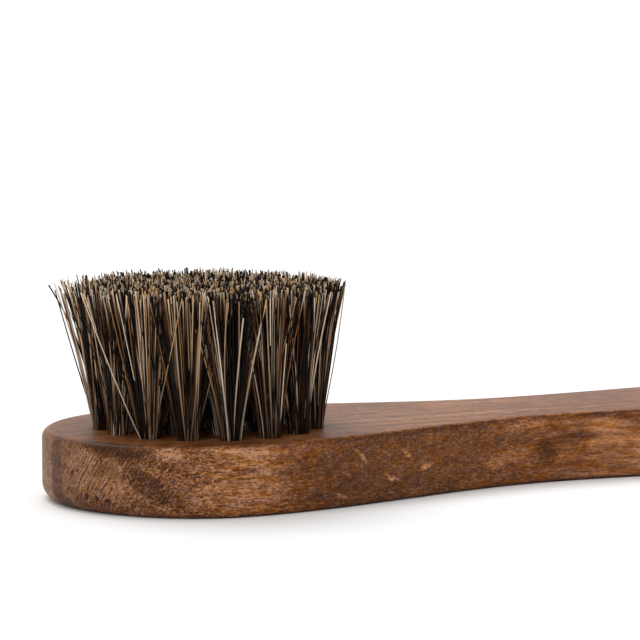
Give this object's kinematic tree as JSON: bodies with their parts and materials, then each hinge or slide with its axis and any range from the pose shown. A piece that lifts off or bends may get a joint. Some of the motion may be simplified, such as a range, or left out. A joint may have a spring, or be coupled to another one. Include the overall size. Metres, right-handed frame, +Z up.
{
  "type": "polish dauber",
  "caption": "Round-headed wooden paddle with flaring stapled hair tufts on its head and a waisted handle, for putting polish on shoes.",
  "frame": {"origin": "on the flat underside, below the middle of the rings of tufts", "axes": "+X along the handle towards its butt, +Z up through the tufts, from the underside to the trimmed tips"},
  "size_m": [0.175, 0.05, 0.0362],
  "materials": {
    "wood": "satin",
    "hair": "matte",
    "wire": "satin"
  },
  "bodies": {
    "root": {"handle": "wood", "tuft_inner_01": "hair", "tuft_inner_02": "hair", "tuft_inner_03": "hair", "tuft_inner_04": "hair", "tuft_middle_01": "hair", "tuft_middle_02": "hair", "tuft_middle_03": "hair", "tuft_middle_04": "hair", "tuft_middle_05": "hair", "tuft_middle_06": "hair", "tuft_middle_07": "hair", "tuft_middle_08": "hair", "tuft_middle_09": "hair", "tuft_outer_01": "hair", "tuft_outer_02": "hair", "tuft_outer_03": "hair", "tuft_outer_04": "hair", "tuft_outer_05": "hair", "tuft_outer_06": "hair", "tuft_outer_07": "hair", "tuft_outer_08": "hair", "tuft_outer_09": "hair", "tuft_outer_10": "hair", "tuft_outer_11": "hair", "tuft_outer_12": "hair", "tuft_outer_13": "hair", "tuft_outer_14": "hair", "tuft_outer_15": "hair", "tuft_outer_16": "hair", "staple_inner_01": "wire", "staple_inner_02": "wire", "staple_inner_03": "wire", "staple_inner_04": "wire", "staple_middle_01": "wire", "staple_middle_02": "wire", "staple_middle_03": "wire", "staple_middle_04": "wire", "staple_middle_05": "wire", "staple_middle_06": "wire", "staple_middle_07": "wire", "staple_middle_08": "wire", "staple_middle_09": "wire", "staple_outer_01": "wire", "staple_outer_02": "wire", "staple_outer_03": "wire", "staple_outer_04": "wire", "staple_outer_05": "wire", "staple_outer_06": "wire", "staple_outer_07": "wire", "staple_outer_08": "wire", "staple_outer_09": "wire", "staple_outer_10": "wire", "staple_outer_11": "wire", "staple_outer_12": "wire", "staple_outer_13": "wire", "staple_outer_14": "wire", "staple_outer_15": "wire", "staple_outer_16": "wire"}
  },
  "joints": []
}
